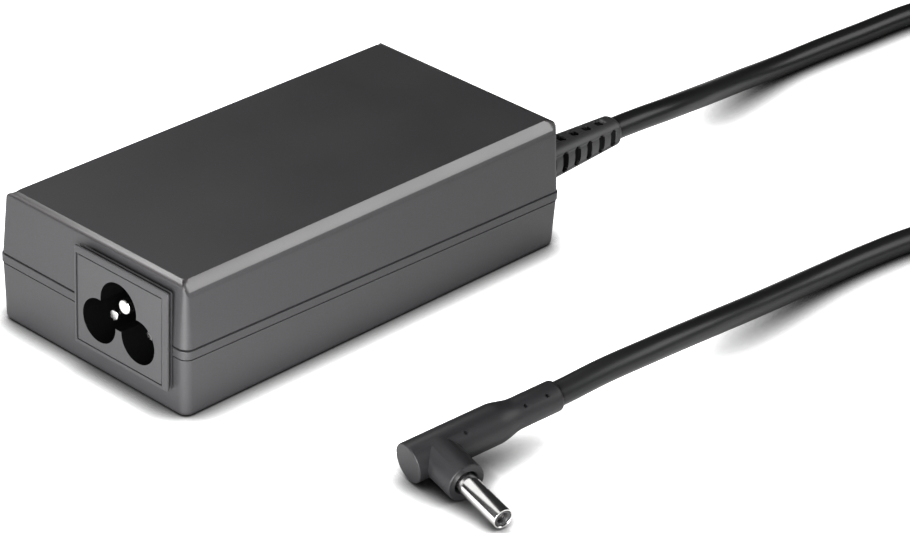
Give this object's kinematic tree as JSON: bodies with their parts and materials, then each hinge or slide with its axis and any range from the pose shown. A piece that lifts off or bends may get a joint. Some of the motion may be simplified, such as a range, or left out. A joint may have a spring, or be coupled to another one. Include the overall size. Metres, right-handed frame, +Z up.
{
  "type": "laptop power adapter",
  "caption": "Slim two-shell laptop power brick with a recessed cloverleaf mains inlet and a low-voltage lead ending in a right-angled barrel plug.",
  "frame": {"origin": "middle of the brick's footprint, inlet flange included, on the surface it rests on; the cord, its coil, plug and strain relief are left out of that footprint", "axes": "+X along the brick towards the cord end, the mains inlet is in the -X end; -Y is the long side nearer to both the inlet and the cord exit; +Z up"},
  "size_m": [0.2719, 0.122, 0.0272],
  "materials": {
    "shell": "finely spark-eroded satin charcoal",
    "inlet": "satin charcoal",
    "pin": "bright nickel plate",
    "steel": "plain spring steel",
    "aluminium": "mill finish sheet",
    "copper": "enamelled copper wire",
    "ferrite": "dull sintered",
    "board": "solder mask",
    "black_plastic": "moulded satin",
    "tape": "polyester tape",
    "film_box": "moulded box",
    "blue_coating": "dipped epoxy",
    "green_coating": "dipped epoxy",
    "sleeve": "shrink sleeve",
    "paper": "insulating sheet",
    "label": "satin film",
    "cord": "smooth soft vinyl",
    "relief": "matte soft vinyl",
    "plug": "satin soft vinyl",
    "tie": "hook and loop strap",
    "wire_brown": "wire insulation",
    "wire_blue": "wire insulation",
    "wire_green": "wire insulation",
    "wire_red": "wire insulation"
  },
  "bodies": {
    "root": {"top_shell": "shell", "bottom_shell": "shell", "rating_label": "label", "inlet_housing": "inlet", "pin_line": "pin", "pin_neutral": "pin", "pin_earth": "pin", "circuit_board": "board", "insulation_sheet": "paper", "bottom_heat_spreader": "aluminium", "top_heat_spreader": "aluminium", "fuse": "black_plastic", "inrush_thermistor": "green_coating", "varistor": "blue_coating", "x_capacitor": "film_box", "bridge_rectifier": "black_plastic", "bulk_capacitor": "sleeve", "choke_core": "ferrite", "choke_winding_line": "copper", "choke_winding_neutral": "copper", "primary_heatsink": "aluminium", "primary_transistor": "black_plastic", "secondary_heatsink": "aluminium", "output_rectifier": "black_plastic", "transformer_core_lower": "ferrite", "transformer_core_upper": "ferrite", "transformer_bobbin": "black_plastic", "transformer_winding": "tape", "y_capacitor": "blue_coating", "optocoupler": "black_plastic", "control_ic": "black_plastic", "output_capacitor_1": "sleeve", "output_capacitor_2": "sleeve", "output_choke_core": "ferrite", "output_choke_winding": "copper", "wire_line": "wire_brown", "wire_neutral": "wire_blue", "wire_earth": "wire_green", "dc_wire_positive": "wire_red", "dc_wire_negative": "black_plastic", "strain_relief": "relief", "cord_lead": "cord", "cord_return": "cord", "cord_coil": "cord", "cord_tie": "tie", "plug_body": "plug", "plug_barrel": "pin", "plug_insulator": "black_plastic", "plug_contact": "steel"}
  },
  "joints": []
}
